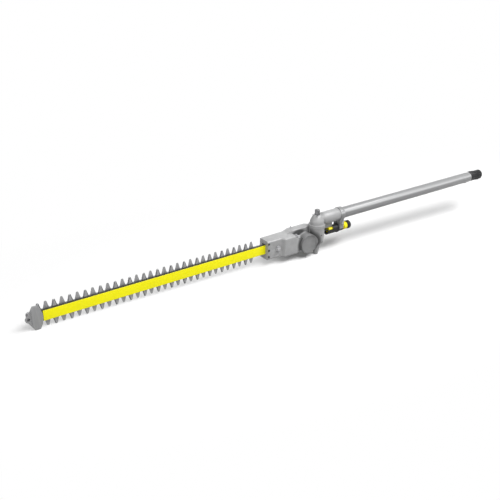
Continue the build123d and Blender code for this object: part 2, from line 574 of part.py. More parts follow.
with BuildPart() as pivot_bearing:
    along_z(PIVOT_BEARING_Z, PIVOT_BEARING_END_Z, PIVOT_BEARING_R)
    along_z(PIVOT_BEARING_Z, PIVOT_BEARING_END_Z, SHAFT_R + FIT, mode=Mode.SUBTRACT)
pivot_bearing.part.label = "pivot_bearing"
export_step(pivot_bearing.part, "parts/pivot_bearing.step")

with BuildPart() as foot_bush:
    along_z(FOOT_BUSH_Z, GEAR_ROOM_Z - 0.5, FOOT_BUSH_R)
    along_z(FOOT_BUSH_Z, GEAR_ROOM_Z - 0.5, SHAFT_R + 0.05, mode=Mode.SUBTRACT)
foot_bush.part.label = "foot_bush"
export_step(foot_bush.part, "parts/foot_bush.step")

# Lay shaft with its bevel, pinion end and bearings
with BuildPart() as lay_shaft:
    bevel_teeth((CRANK_X, 0, LAY_Z), (1, 0, 0), (0, 1, 0), 12, 36, CRANK_MODULE, 0.0, 9.0, face=PINION_SCALE)
    along_x(CRANK_X + CRANK_REACH, -SHAFT_R - 2.9, SHAFT_R, z=LAY_Z)
    along_x(CRANK_X + CRANK_REACH, TAIL_BEARING_X - 0.2, SHAFT_R + 0.6, z=LAY_Z)
lay_shaft.part.label = "lay_shaft"
export_step(lay_shaft.part, "parts/lay_shaft.step")

with BuildPart() as lay_bevel:
    bevel_teeth((0, 0, LAY_Z), (-1, 0, 0), (0, 0, 1), 16, 16, LAY_MODULE, 0.0, BEVEL_TRIM_R)
    along_x(LAY_BEARING_END_X + 0.2, -LAY_REACH, SHAFT_R + 3.0, z=LAY_Z)
    along_x(LAY_BEARING_END_X, 4 - LAY_REACH, SHAFT_R + FIT, z=LAY_Z, mode=Mode.SUBTRACT)
lay_bevel.part.label = "lay_bevel"
export_step(lay_bevel.part, "parts/lay_bevel.step")

with BuildPart() as lay_bearings:
    along_x(LAY_BEARING_X, LAY_BEARING_END_X, LAY_BEARING_R, z=LAY_Z)
    along_x(TAIL_BEARING_X, TAIL_BEARING_END_X, TAIL_BEARING_R, z=LAY_Z)
    along_x(TAIL_BEARING_X, LAY_BEARING_END_X, SHAFT_R + FIT, z=LAY_Z, mode=Mode.SUBTRACT)
lay_bearings.part.label = "lay_bearings"
export_step(lay_bearings.part, "parts/lay_bearings.step")

# Cutter case, open on its far side
RAMP_X = CASE_BACK_X - 10.0
FLARE_X = CRANK_X + 6.5
FLARE_END_X = TAIL_BEARING_X - 4.0


def case_outline(y):
    """Side view of the case at depth y: low at the mouth, with a smooth ramp up to the shoulder."""
    with BuildSketch(side(y)) as outline:
        with BuildLine():
            Polyline((RAMP_X - 10, CASE_TOP_Z), (MOUTH_X, CASE_TOP_Z - 1.0), (MOUTH_X, CASE_LOW_Z + 2.5),
                     (CASE_BACK_X, CASE_LOW_Z), (CASE_BACK_X, PLATEAU_Z))
            Spline((CASE_BACK_X, PLATEAU_Z), (RAMP_X - 10, CASE_TOP_Z),
                   tangents=((-1, 0), (MOUTH_X - RAMP_X + 10, -1)))
        make_face()
    return outline.sketch


with BuildPart() as gear_case:
    with BuildSketch(Plane.XY.offset(CASE_LOW_Z)) as plan:
        with BuildLine():
            Polyline((FLARE_END_X, FLARE_Y), (CASE_BACK_X, FLARE_Y), (CASE_BACK_X, COVER_Y),
                     (MOUTH_X, COVER_Y), (MOUTH_X, 0), (FLARE_X, 0))
            Spline((FLARE_X, 0), (FLARE_END_X, FLARE_Y), tangents=((1, 0), (1, 0)))
        make_face()
    extrude(plan.sketch, amount=CASE_TOP_Z - CASE_LOW_Z)
    near_edges = gear_case.edges().filter_by(lambda e: e.center().Y < 0.5 and e.bounding_box().size.X > 10)
    fillet(near_edges, CASE_FILLET)
    block(RAMP_X + 3, CASE_BACK_X + 1, FLARE_Y - 2, PLATEAU_Y, TONGUE_Z, 90, mode=Mode.SUBTRACT)
    extrude(case_outline(COVER_Y), amount=COVER_Y - PLATEAU_Y)
    block(CASE_BACK_X - 1, TONGUE_X, FLARE_Y + 1, PLATEAU_Y, TONGUE_Z - 4.5, TONGUE_Z)
    block(MOUTH_WALL_X, TAIL_BEARING_X, WALL, COVER_Y, LAY_Z - 18.6, LAY_Z + 18.6, mode=Mode.SUBTRACT)
    block(TAIL_BEARING_X + 11, CASE_BACK_X - 6.5, 10, COVER_Y, LAY_Z - 18, LAY_Z + 18, mode=Mode.SUBTRACT)
    block(MOUTH_X, MOUTH_WALL_X, BAR_FRONT_Y, REAR_BAR_BACK_Y, LAY_Z - 12, LAY_Z + 12, mode=Mode.SUBTRACT)
    with Locations(Location((TAIL_BEARING_X - 7.3, 0, LAY_Z), (0, 90, 0))):
        Cone(6.0, TAIL_BEARING_R + 0.3, 3.3, align=(Align.CENTER, Align.CENTER, Align.MIN),
             mode=Mode.SUBTRACT)
    along_x(TAIL_BEARING_X - 4, TAIL_BEARING_X, TAIL_BEARING_R + 0.3, z=LAY_Z, mode=Mode.SUBTRACT)
    along_x(TAIL_BEARING_X, TAIL_BEARING_END_X, TAIL_BEARING_R + FIT, z=LAY_Z, mode=Mode.SUBTRACT)
    along_x(TAIL_BEARING_END_X, CASE_BACK_X, SHAFT_R + 1.5, z=LAY_Z, mode=Mode.SUBTRACT)
    along_y(-1, WALL + 1, AXLE_R + FIT, x=CRANK_X, z=LAY_Z, mode=Mode.SUBTRACT)
    along_y(-1, BAR_FRONT_Y, SCREW_R + FIT, x=STRIP_SCREW_X, z=LAY_Z, mode=Mode.SUBTRACT)
    for x, z in CASE_SCREWS:
        along_y(-1, COVER_Y, SCREW_R + FIT, x=x, z=z, mode=Mode.SUBTRACT)
    for x, z in COVER_SCREWS:
        along_y(COVER_Y - 8.2, COVER_Y, SCREW_R + FIT, x=x, z=z, mode=Mode.SUBTRACT)
    for z in (LAY_Z - 7, LAY_Z + 7):
        along_y(REAR_BAR_BACK_Y, REAR_BAR_BACK_Y + 4.2, PIN_R + FIT, x=ANCHOR_X, z=z, mode=Mode.SUBTRACT)
    for x, y in NECK_BOLTS:
        along_z(TONGUE_Z - 5, TONGUE_Z, BOLT_R + FIT, x=x, y=y, mode=Mode.SUBTRACT)
    for y, z in JOINT_SCREWS:
        along_x(CASE_BACK_X - 7, CASE_BACK_X, BOLT_R + FIT, y=y, z=z, mode=Mode.SUBTRACT)
gear_case.part.label = "gear_case"
export_step(gear_case.part, "parts/gear_case.step")

# Far cover of the case
with BuildPart() as case_cover:
    extrude(case_outline(CASE_FAR_Y), amount=WALL)
    far_edges = case_cover.faces().sort_by(Axis.Y)[-1].edges()
    chamfer(far_edges, 1.2)
    along_y(COVER_Y, CASE_FAR_Y, AXLE_R + FIT, x=CRANK_X, z=LAY_Z, mode=Mode.SUBTRACT)
    for x, z in CASE_SCREWS + COVER_SCREWS:
        along_y(COVER_Y, CASE_FAR_Y, SCREW_R + FIT, x=x, z=z, mode=Mode.SUBTRACT)
case_cover.part.label = "case_cover"
export_step(case_cover.part, "parts/case_cover.step")

# Screws of the case: two long ones and a strip clamp at the mouth, four in the cover
with BuildPart() as mouth_screws:
    for x, z, end_y in [(x, z, CASE_FAR_Y) for x, z in CASE_SCREWS] + [(STRIP_SCREW_X, LAY_Z, BAR_FRONT_Y)]:
        along_y(-1.0, 0.0, 2.5, x=x, z=z)
        along_y(0.0, end_y, SCREW_R, x=x, z=z)
        along_y(-1.0, 1.0, 1.1, x=x, z=z, mode=Mode.SUBTRACT)
mouth_screws.part.label = "mouth_screws"
export_step(mouth_screws.part, "parts/mouth_screws.step")

with BuildPart() as cover_screws:
    for x, z in COVER_SCREWS:
        along_y(COVER_Y - 8, CASE_FAR_Y, SCREW_R, x=x, z=z)
        along_y(CASE_FAR_Y, CASE_FAR_Y + 2.0, 3.0, x=x, z=z)
        along_y(CASE_FAR_Y + 0.8, CASE_FAR_Y + 2.0, 1.3, x=x, z=z, mode=Mode.SUBTRACT)
cover_screws.part.label = "cover_screws"
export_step(cover_screws.part, "parts/cover_screws.step")

# Bolts that join the case to the lower housing
with BuildPart() as neck_bolts:
    for x, y in NECK_BOLTS:
        along_z(LAY_Z + 8.2, TONGUE_Z, BOLT_R, x=x, y=y)
        along_z(TONGUE_Z, TONGUE_Z + 0.8, 4.2, x=x, y=y)
        hexagon(Plane((x, y, TONGUE_Z + 0.8)), 7.0, 3.0)
neck_bolts.part.label = "neck_bolts"
export_step(neck_bolts.part, "parts/neck_bolts.step")

with BuildPart() as joint_screws:
    for y, z in JOINT_SCREWS:
        along_x(CASE_BACK_X - 6.5, CASE_BACK_X + 11.8, BOLT_R, y=y, z=z)
        along_x(CASE_BACK_X - 10, CASE_BACK_X - 6.5, 3.5, y=y, z=z)
joint_screws.part.label = "joint_screws"
export_step(joint_screws.part, "parts/joint_screws.step")

# Grease nipple on the shoulder of the lower housing
with BuildPart() as grease_nipple:
    along_z(PLATEAU_Z - 4, PLATEAU_Z, BOLT_R, x=NIPPLE_X, y=NIPPLE_Y)
    along_z(PLATEAU_Z, PLATEAU_Z + 1.6, 2.9, x=NIPPLE_X, y=NIPPLE_Y)
    along_z(PLATEAU_Z + 1.6, PLATEAU_Z + 3.4, 1.6, x=NIPPLE_X, y=NIPPLE_Y)
grease_nipple.part.label = "grease_nipple"
export_step(grease_nipple.part, "parts/grease_nipple.step")

# Crank axle bolt through the case
with BuildPart() as axle_bolt:
    hexagon(side(-1.2), 9.0, 3.8)
    along_y(-1.2, CASE_FAR_Y, AXLE_R)
    along_y(-1.2, 0.0, 6.4)
axle_bolt.part.position = (CRANK_X, 0, LAY_Z)
axle_bolt.part.label = "axle_bolt"
export_step(axle_bolt.part, "parts/axle_bolt.step")

# Crank gear and its two cams
GEAR_BACK_Y = 0.5 * CRANK_MODULE * 12 + 2.5
with BuildPart() as crank_gear:
    bevel_teeth((CRANK_X, 0, LAY_Z), (0, 1, 0), (1, 0, 0), 36, 12, CRANK_MODULE, 0.5, 18.2)
    along_y(0.5 * CRANK_MODULE * 12, GEAR_BACK_Y, 14.4, x=CRANK_X, z=LAY_Z)
    along_y(WALL + RUN, COVER_Y - RUN, 4.6, x=CRANK_X, z=LAY_Z)
    along_y(WALL, COVER_Y, AXLE_R + 0.05, x=CRANK_X, z=LAY_Z, mode=Mode.SUBTRACT)
crank_gear.part.label = "crank_gear"
export_step(crank_gear.part, "parts/crank_gear.step")

with BuildPart() as crank_cams:
    along_y(FRONT_Y + 0.05, FRONT_SHEAR_Y - 0.05, CAM_R, x=CRANK_X, z=LAY_Z + THROW)
    along_y(REAR_SHEAR_Y + 0.05, REAR_Y - 0.05, CAM_R, x=CRANK_X, z=LAY_Z - THROW)
    along_y(FRONT_Y, REAR_Y, 4.6 + FIT, x=CRANK_X, z=LAY_Z, mode=Mode.SUBTRACT)
crank_cams.part.label = "crank_cams"
export_step(crank_cams.part, "parts/crank_cams.step")

# Cutter blades
with BuildPart() as front_blade:
    blade_body(FRONT_Y, FRONT_SHEAR_Y)
    ground_teeth(FRONT_TEETH_X, FRONT_SHEAR_Y, -1)
front_blade.part.label = "front_blade"
export_step(front_blade.part, "parts/front_blade.step")

with BuildPart() as rear_blade:
    blade_body(REAR_SHEAR_Y, REAR_Y)
    ground_teeth(REAR_TEETH_X, REAR_SHEAR_Y, 1)
rear_blade.part.label = "rear_blade"
export_step(rear_blade.part, "parts/rear_blade.step")

# Front cover strip and rear support bar
STRIP_END_X = TIP_TOOTH_X + 6.5
with BuildPart() as cover_strip:
    block(STRIP_END_X, BAR_INNER_X, BAR_FRONT_Y, BAR_BACK_Y, LAY_Z - BAR_HALF, LAY_Z + BAR_HALF)
    long_edges = cover_strip.faces().sort_by(Axis.Y)[0].edges().filter_by(Axis.X)
    fillet(long_edges, 1.2)
    for x in SPACER_X:
        along_y(BAR_FRONT_Y + 1.0, BAR_BACK_Y, SCREW_R + FIT, x=x, z=LAY_Z, mode=Mode.SUBTRACT)
cover_strip.part.label = "cover_strip"
export_step(cover_strip.part, "parts/cover_strip.step")

GUARD_FIX = [(GUARD_FIX_X, LAY_Z - 6), (GUARD_FIX_X, LAY_Z + 6)]
with BuildPart() as support_bar:
    block(GUARD_FIX_X - 6, BAR_INNER_X, REAR_BAR_FRONT_Y, REAR_BAR_BACK_Y,
          LAY_Z - REAR_BAR_HALF, LAY_Z + REAR_BAR_HALF)
    tip_corners = support_bar.faces().sort_by(Axis.X)[0].edges().filter_by(Axis.Y)
    fillet(tip_corners, 4.0)
    for x, z in [(x, LAY_Z) for x in SPACER_X] + GUARD_FIX:
        along_y(REAR_BAR_FRONT_Y, REAR_BAR_BACK_Y, SCREW_R + FIT, x=x, z=z, mode=Mode.SUBTRACT)
    for z in (LAY_Z - 7, LAY_Z + 7):
        along_y(REAR_BAR_FRONT_Y, REAR_BAR_BACK_Y, PIN_R + FIT, x=ANCHOR_X, z=z, mode=Mode.SUBTRACT)
support_bar.part.label = "support_bar"
export_step(support_bar.part, "parts/support_bar.step")

# Spacers and screws that hold strip, blades and bar together
with BuildPart() as bar_spacers:
    for x in SPACER_X:
        along_y(BAR_BACK_Y, REAR_BAR_FRONT_Y, SPACER_R, x=x, z=LAY_Z)
        along_y(BAR_BACK_Y, REAR_BAR_FRONT_Y, SCREW_R + FIT, x=x, z=LAY_Z, mode=Mode.SUBTRACT)
bar_spacers.part.label = "bar_spacers"
export_step(bar_spacers.part, "parts/bar_spacers.step")

with BuildPart() as bar_screws:
    for x in SPACER_X:
        along_y(BAR_FRONT_Y + 1.0, REAR_BAR_BACK_Y, SCREW_R, x=x, z=LAY_Z)
        along_y(REAR_BAR_BACK_Y, REAR_BAR_BACK_Y + 2.4, 3.2, x=x, z=LAY_Z)
        along_y(REAR_BAR_BACK_Y + 1.0, REAR_BAR_BACK_Y + 2.4, 1.4, x=x, z=LAY_Z, mode=Mode.SUBTRACT)
bar_screws.part.label = "bar_screws"
export_step(bar_screws.part, "parts/bar_screws.step")

# Tip guard with its hanging eye
GUARD_BACK_Y = FRONT_Y - 0.55
GUARD_FRONT_Y = GUARD_BACK_Y - GUARD_T
SHOULDER_X = TIP_TOOTH_X - 11.5
with BuildPart() as tip_guard:
    with BuildSketch(side(GUARD_BACK_Y)):
        with BuildLine():
            Polyline((TIP_TOOTH_X - 1.5, LAY_Z - GUARD_HALF), (SHOULDER_X, LAY_Z - GUARD_HALF),
                     (EYE_X - 1, LAY_Z - 7.5), (EYE_X - 1, LAY_Z + 7.5), (SHOULDER_X, LAY_Z + GUARD_HALF),
                     (TIP_TOOTH_X - 1.5, LAY_Z + GUARD_HALF))
            ThreePointArc((TIP_TOOTH_X - 1.5, LAY_Z + GUARD_HALF), (TIP_TOOTH_X + 5.9, LAY_Z),
                          (TIP_TOOTH_X - 1.5, LAY_Z - GUARD_HALF))
        make_face()
        with Locations((EYE_X, LAY_Z)):
            Circle(EYE_R + 3.2)
    extrude(amount=GUARD_T)
    block(EYE_X - 12, EYE_X + EYE_R + 2.6, GUARD_FRONT_Y - 1, GUARD_FRONT_Y + 1.2, 0, 90, mode=Mode.SUBTRACT)
    along_y(GUARD_FRONT_Y - 1, GUARD_BACK_Y + 1, EYE_R, x=EYE_X, z=LAY_Z, mode=Mode.SUBTRACT)
    for x, z in GUARD_FIX:
        along_y(GUARD_BACK_Y - 3, GUARD_BACK_Y, SCREW_R + FIT, x=x, z=z, mode=Mode.SUBTRACT)
tip_guard.part.label = "tip_guard"
export_step(tip_guard.part, "parts/tip_guard.step")

with BuildPart() as guard_spacers:
    for x, z in GUARD_FIX:
        along_y(GUARD_BACK_Y, REAR_BAR_FRONT_Y, SPACER_R, x=x, z=z)
        along_y(GUARD_BACK_Y, REAR_BAR_FRONT_Y, SCREW_R + FIT, x=x, z=z, mode=Mode.SUBTRACT)
guard_spacers.part.label = "guard_spacers"
export_step(guard_spacers.part, "parts/guard_spacers.step")

with BuildPart() as guard_screws:
    for x, z in GUARD_FIX:
        along_y(GUARD_BACK_Y - 3, REAR_BAR_BACK_Y, SCREW_R, x=x, z=z)
        along_y(REAR_BAR_BACK_Y, REAR_BAR_BACK_Y + 2.4, 3.2, x=x, z=z)
        along_y(REAR_BAR_BACK_Y + 1.0, REAR_BAR_BACK_Y + 2.4, 1.4, x=x, z=z, mode=Mode.SUBTRACT)
guard_screws.part.label = "guard_screws"
export_step(guard_screws.part, "parts/guard_screws.step")

# Dowels that key the support bar into the mouth
with BuildPart() as bar_dowels:
    for z in (LAY_Z - 7, LAY_Z + 7):
        along_y(REAR_BAR_FRONT_Y, REAR_BAR_BACK_Y + 4, PIN_R, x=ANCHOR_X, z=z)
bar_dowels.part.label = "bar_dowels"
export_step(bar_dowels.part, "parts/bar_dowels.step")
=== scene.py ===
import json
from math import cos, radians, sin

import bmesh
import bpy
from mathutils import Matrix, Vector


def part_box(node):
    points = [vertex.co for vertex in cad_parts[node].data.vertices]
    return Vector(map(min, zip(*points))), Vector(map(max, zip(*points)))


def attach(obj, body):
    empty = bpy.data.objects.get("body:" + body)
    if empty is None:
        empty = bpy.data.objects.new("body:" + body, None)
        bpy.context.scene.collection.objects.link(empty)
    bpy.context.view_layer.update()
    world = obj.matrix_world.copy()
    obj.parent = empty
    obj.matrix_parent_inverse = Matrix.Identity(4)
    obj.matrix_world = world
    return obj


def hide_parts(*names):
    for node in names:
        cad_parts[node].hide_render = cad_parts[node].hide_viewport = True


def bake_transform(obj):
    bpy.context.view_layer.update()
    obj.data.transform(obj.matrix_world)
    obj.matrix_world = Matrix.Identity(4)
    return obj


# Hedge trimmer attachment: finishes, rounded castings, grips, studio and camera, in metres.
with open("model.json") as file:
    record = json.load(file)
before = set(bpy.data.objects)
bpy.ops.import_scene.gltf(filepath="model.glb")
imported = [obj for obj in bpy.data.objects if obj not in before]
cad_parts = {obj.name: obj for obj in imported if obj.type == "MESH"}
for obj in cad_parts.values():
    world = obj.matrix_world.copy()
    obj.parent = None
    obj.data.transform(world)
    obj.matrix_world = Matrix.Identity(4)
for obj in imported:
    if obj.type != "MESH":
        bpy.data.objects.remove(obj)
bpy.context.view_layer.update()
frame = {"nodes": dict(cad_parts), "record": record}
nodes = frame["nodes"]
bodies_of_nodes = {
    node: body
    for body, members in frame["record"]["behaviour"]["bodies"].items()
    for node in members
}
slots_of_nodes = {entry["node"]: entry["material_slot"] for entry in frame["record"]["subparts"]}

# Camera of the photograph
CAMERA_PLACE = Vector((-0.9626, -1.1026, 0.6821))
CAMERA_AZIMUTH = radians(35.06)
CAMERA_ELEVATION = radians(24.83)
CAMERA_LENS = 49.03
SENSOR_WIDTH = 36.0
CLIP_NEAR, CLIP_FAR = 0.01, 60

# Colours, as linear values
CASTING_GREY = (0.325, 0.326, 0.328, 1)
POLE_SILVER = (0.315, 0.317, 0.321, 1)
BLADE_GREY = (0.32, 0.32, 0.326, 1)
GROUND_GREY = (0.14, 0.14, 0.144, 1)
GUARD_GREY = (0.275, 0.277, 0.280, 1)
STRIP_YELLOW = (0.92, 0.86, 0.003, 1)
# Painted shade on the edge faces of the cover strip
STRIP_EDGE_SHADE = (0.05, 0.046, 0.016, 1)
LOCK_YELLOW = (0.90, 0.78, 0.004, 1)
CAP_BLACK = (0.014, 0.014, 0.015, 1)
ZINC_BRIGHT = (0.42, 0.42, 0.43, 1)
OXIDE_DARK = (0.05, 0.05, 0.054, 1)
BOLT_GREY = (0.13, 0.13, 0.135, 1)
GEAR_GREY = (0.40, 0.40, 0.41, 1)
BRONZE = (0.42, 0.25, 0.09, 1)

# Painted shade: dark band along the tooth roots beside the cover strip, by distance from the
# blade's middle line
BLADE_MIDDLE_Z = 0.043
ROOT_FROM, ROOT_TO = 0.0115, 0.0128
ROOT_SHADE_TONE = 0.20

# Painted shade round the cheek: darker cheek face and a dark crevice, tones by distance from its
# centre, near side only
CHEEK_CENTRE = (-0.0305, 0, 0.037)
CHEEK_REACH = 0.04
CHEEK_SHADE_TONES = ((0.0, 0.66), (0.56, 0.58), (0.575, 0.10), (0.68, 0.20), (0.86, 1.0))
CHEEK_NEAR_Y, CHEEK_FAR_Y = -0.002, 0.006

# Painted shade in the recess behind the neck bolts
NECK_CENTRE = (-0.044, 0.012, 0.0605)
NECK_REACH = (0.024, 0.006, 0.0095)
NECK_FROM = 0.45
NECK_SHADE_TONE = 0.18

# Painted highlight and shade on the drawn tube: tones from its underside to its top, a light
# band over a darker underside
TUBE_LIGHT_TONES = ((0.0, 0.75), (0.62, 0.65), (0.76, 1.45), (0.90, 0.85), (1.0, 0.65))

# Ends of the colour ramps of the soft patches
PATCH_LOW, PATCH_HIGH = 0.3, 0.7

# Directions in which drawn and ground lines run
ALONG_TUBE = (0.03, 1, 1)
ACROSS_BLADE = (1, 1, 0.05)


# Finishes
def node(tree, kind, **values):
    """Adds a node, with its inputs set by name and its settings by attribute."""
    new = tree.nodes.new(kind)
    for name, value in values.items():
        plain = name.replace("_", " ")
        if plain in new.inputs:
            new.inputs[plain].default_value = value
        else:
            setattr(new, name, value)
    return new


def join(tree, source, output, target, socket):
    """Links one output to one input."""
    tree.links.new(source.outputs[output], target.inputs[socket])


def start_finish(name, colour, metallic, roughness):
    """Material with a Principled shader and Object coordinates."""
    finish = bpy.data.materials.new(name)
    finish.use_nodes = True
    tree = finish.node_tree
    tree.nodes.clear()
    shader = tree.nodes.new("ShaderNodeBsdfPrincipled")
    shader.inputs["Base Color"].default_value = colour
    shader.inputs["Metallic"].default_value = metallic
    shader.inputs["Roughness"].default_value = roughness
    output = tree.nodes.new("ShaderNodeOutputMaterial")
    join(tree, shader, "BSDF", output, "Surface")
    place = tree.nodes.new("ShaderNodeTexCoord")
    return finish, tree, shader, place


def shade(colour, factor):
    """A colour made lighter or darker."""
    return tuple(min(1.0, c * factor) for c in colour[:3]) + (1,)


def vary_colour(tree, shader, place, colour, scale, low, high, stretch=(1, 1, 1)):
    """Soft patches of a darker and a lighter tone."""
    mapping = node(tree, "ShaderNodeMapping", Scale=stretch)
    join(tree, place, "Object", mapping, "Vector")
    patches = node(tree, "ShaderNodeTexNoise", Scale=scale, Detail=4.0, Roughness=0.6)
    join(tree, mapping, "Vector", patches, "Vector")
    ramp = tree.nodes.new("ShaderNodeValToRGB")
    ramp.color_ramp.elements[0].position = PATCH_LOW
    ramp.color_ramp.elements[0].color = shade(colour, low)
    ramp.color_ramp.elements[1].position = PATCH_HIGH
    ramp.color_ramp.elements[1].color = shade(colour, high)
    join(tree, patches, "Fac", ramp, "Fac")
    join(tree, ramp, "Color", shader, "Base Color")


def vary_roughness(tree, shader, place, scale, low, high, stretch=(1, 1, 1)):
    """Roughness that wanders between two values."""
    mapping = node(tree, "ShaderNodeMapping", Scale=stretch)
    join(tree, place, "Object", mapping, "Vector")
    patches = node(tree, "ShaderNodeTexNoise", Scale=scale, Detail=3.0)
    join(tree, mapping, "Vector", patches, "Vector")
    span = node(tree, "ShaderNodeMapRange", To_Min=low, To_Max=high)
    join(tree, patches, "Fac", span, "Value")
    join(tree, span, "Result", shader, "Roughness")


def add_grain(tree, shader, place, scale, strength, distance, stretch=(1, 1, 1)):
    """Fine bump of a cast, drawn, ground or moulded skin."""
    mapping = node(tree, "ShaderNodeMapping", Scale=stretch)
    join(tree, place, "Object", mapping, "Vector")
    grain = node(tree, "ShaderNodeTexNoise", Scale=scale, Detail=2.0)
    join(tree, mapping, "Vector", grain, "Vector")
    bump = node(tree, "ShaderNodeBump", Strength=strength, Distance=distance)
    join(tree, grain, "Fac", bump, "Height")
    join(tree, bump, "Normal", shader, "Normal")


def darken(tree, shader, factor, output):
    """Base colour times a factor."""
    colour = shader.inputs["Base Color"].links[0].from_socket
    scaled = node(tree, "ShaderNodeVectorMath", operation="SCALE")
    tree.links.new(colour, scaled.inputs[0])
    join(tree, factor, output, scaled, "Scale")
    join(tree, scaled, "Vector", shader, "Base Color")


def distance_from(tree, place, centre, reach):
    """Distance from a point, in units of a reach along each axis (0 leaves an axis out)."""
    scale = tuple(1 / r if r else 0 for r in reach)
    shift = tuple(-c * k for c, k in zip(centre, scale))
    mapping = node(tree, "ShaderNodeMapping", Location=shift, Scale=scale)
    join(tree, place, "Object", mapping, "Vector")
    distance = node(tree, "ShaderNodeVectorMath", operation="LENGTH")
    join(tree, mapping, "Vector", distance, 0)
    return distance


def smooth_step(tree, source, output, start, end, low, high):
    """Value that goes softly from low to high while an output goes from start to end."""
    step = node(tree, "ShaderNodeMapRange", interpolation_type="SMOOTHSTEP", From_Min=start,
                From_Max=end, To_Min=low, To_Max=high)
    join(tree, source, output, step, "Value")
    return step


def combine(tree, operation, first, first_output, second, second_output):
    """Math node on two outputs."""
    result = node(tree, "ShaderNodeMath", operation=operation)
    join(tree, first, first_output, result, 0)
    join(tree, second, second_output, result, 1)
    return result


def split_axes(tree, place):
    """Object coordinates as X, Y and Z."""
    axes = tree.nodes.new("ShaderNodeSeparateXYZ")
    join(tree, place, "Object", axes, "Vector")
    return axes


def tone_ramp(tree, tones):
    """Colour ramp of grey tones at their places."""
    ramp = tree.nodes.new("ShaderNodeValToRGB")
    stops = ramp.color_ramp.elements
    for stop, (position, tone) in enumerate(tones):
        if stop > 1:
            stops.new(position)
        stops[stop].position = position
        stops[stop].color = (tone, tone, tone, 1)
    return ramp


def shade_cheek(tree, shader, place):
    """Painted shade round the cheek of the lower housing: darker cheek face and a dark crevice,
    on its near side only.
    """
    distance = distance_from(tree, place, CHEEK_CENTRE, (CHEEK_REACH, 0, CHEEK_REACH))
    ring = tone_ramp(tree, CHEEK_SHADE_TONES)
    join(tree, distance, "Value", ring, "Fac")
    far = node(tree, "ShaderNodeMapRange", From_Min=CHEEK_NEAR_Y, From_Max=CHEEK_FAR_Y)
    join(tree, split_axes(tree, place), "Y", far, "Value")
    factor = combine(tree, "MAXIMUM", ring, "Color", far, "Result")
    darken(tree, shader, factor, "Value")


def shade_neck(tree, shader, place):
    """Painted shade in the recess behind the neck bolts."""
    distance = distance_from(tree, place, NECK_CENTRE, NECK_REACH)
    factor = smooth_step(tree, distance, "Value", NECK_FROM, 1.0, NECK_SHADE_TONE, 1.0)
    darken(tree, shader, factor, "Result")


def shade_tube(tree, shader, place):
    """Painted highlight band along the tube, over painted shade on its underside."""
    low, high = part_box("pole_tube")
    height = node(tree, "ShaderNodeMapRange", From_Min=low[2], From_Max=high[2])
    join(tree, split_axes(tree, place), "Z", height, "Value")
    band = tone_ramp(tree, TUBE_LIGHT_TONES)
    join(tree, height, "Result", band, "Fac")
    darken(tree, shader, band, "Color")


def shade_roots(tree, shader, place):
    """Painted shade along the tooth roots beside the cover strip."""
    distance = distance_from(tree, place, (0, 0, BLADE_MIDDLE_Z), (0, 0, 1))
    factor = smooth_step(tree, distance, "Value", ROOT_FROM, ROOT_TO, ROOT_SHADE_TONE, 1.0)
    darken(tree, shader, factor, "Result")


def make_cast_alloy():
    """Die-cast light alloy: satin skin with faint flow marks and grain, and painted shade in its
    crevices.
    """
    finish, tree, shader, place = start_finish(
        "cast_alloy_skin", CASTING_GREY, metallic=0.12, roughness=0.48)
    vary_colour(tree, shader, place, CASTING_GREY, scale=55.0, low=0.90, high=1.08)
    shade_cheek(tree, shader, place)
    shade_neck(tree, shader, place)
    vary_roughness(tree, shader, place, scale=120.0, low=0.42, high=0.56)
    add_grain(tree, shader, place, scale=1600.0, strength=0.18, distance=0.0004)
    return finish


def make_pole_silver():
    """Drawn tube: fine lines along the pole, a painted highlight band and painted shade on its
    underside.
    """
    finish, tree, shader, place = start_finish(
        "drawn_silver_tube", POLE_SILVER, metallic=0.06, roughness=0.34)
    vary_colour(tree, shader, place, POLE_SILVER, scale=420.0, low=0.95, high=1.04,
                stretch=ALONG_TUBE)
    shade_tube(tree, shader, place)
    vary_roughness(tree, shader, place, scale=600.0, low=0.32, high=0.42, stretch=ALONG_TUBE)
    add_grain(tree, shader, place, scale=1500.0, strength=0.10, distance=0.0002,
              stretch=ALONG_TUBE)
    return finish


def make_blade_steel(name, colour, rooted):
    """Ground tool steel: fine lines across the blade, with painted shade along the tooth roots
    if rooted.
    """
    finish, tree, shader, place = start_finish(name, colour, metallic=0.50, roughness=0.38)
    vary_colour(tree, shader, place, colour, scale=300.0, low=0.86, high=1.10,
                stretch=ACROSS_BLADE)
    if rooted:
        shade_roots(tree, shader, place)
    vary_roughness(tree, shader, place, scale=700.0, low=0.30, high=0.46, stretch=ACROSS_BLADE)
    add_grain(tree, shader, place, scale=2200.0, strength=0.14, distance=0.0003,
              stretch=ACROSS_BLADE)
    return finish


def make_strip_yellow():
    """Gloss enamel on the cover strip."""
    finish, tree, shader, place = start_finish(
        "strip_yellow_enamel", STRIP_YELLOW, metallic=0.0, roughness=0.30)
    vary_colour(tree, shader, place, STRIP_YELLOW, scale=30.0, low=0.97, high=1.02)
    vary_roughness(tree, shader, place, scale=90.0, low=0.26, high=0.36)
    add_grain(tree, shader, place, scale=500.0, strength=0.04, distance=0.0003)
    shader.inputs["Specular IOR Level"].default_value = 0.25
    return finish


def make_moulding(name, colour, rough_low, rough_high):
    """Moulded plastic with a fine spark-eroded grain."""
    finish, tree, shader, place = start_finish(name, colour, metallic=0.0, roughness=rough_low)
    vary_colour(tree, shader, place, colour, scale=80.0, low=0.88, high=1.12)
    vary_roughness(tree, shader, place, scale=160.0, low=rough_low, high=rough_high)
    add_grain(tree, shader, place, scale=2400.0, strength=0.20, distance=0.0002)
    shader.inputs["Specular IOR Level"].default_value = 0.30
    return finish


def make_plated(name, colour, metallic, rough_low, rough_high):
    """Turned or plated metal with a little stain in its lustre."""
    finish, tree, shader, place = start_finish(name, colour, metallic, roughness=rough_low)
    vary_colour(tree, shader, place, colour, scale=240.0, low=0.88, high=1.08)
    vary_roughness(tree, shader, place, scale=400.0, low=rough_low, high=rough_high)
    add_grain(tree, shader, place, scale=2600.0, strength=0.06, distance=0.0002)
    return finish


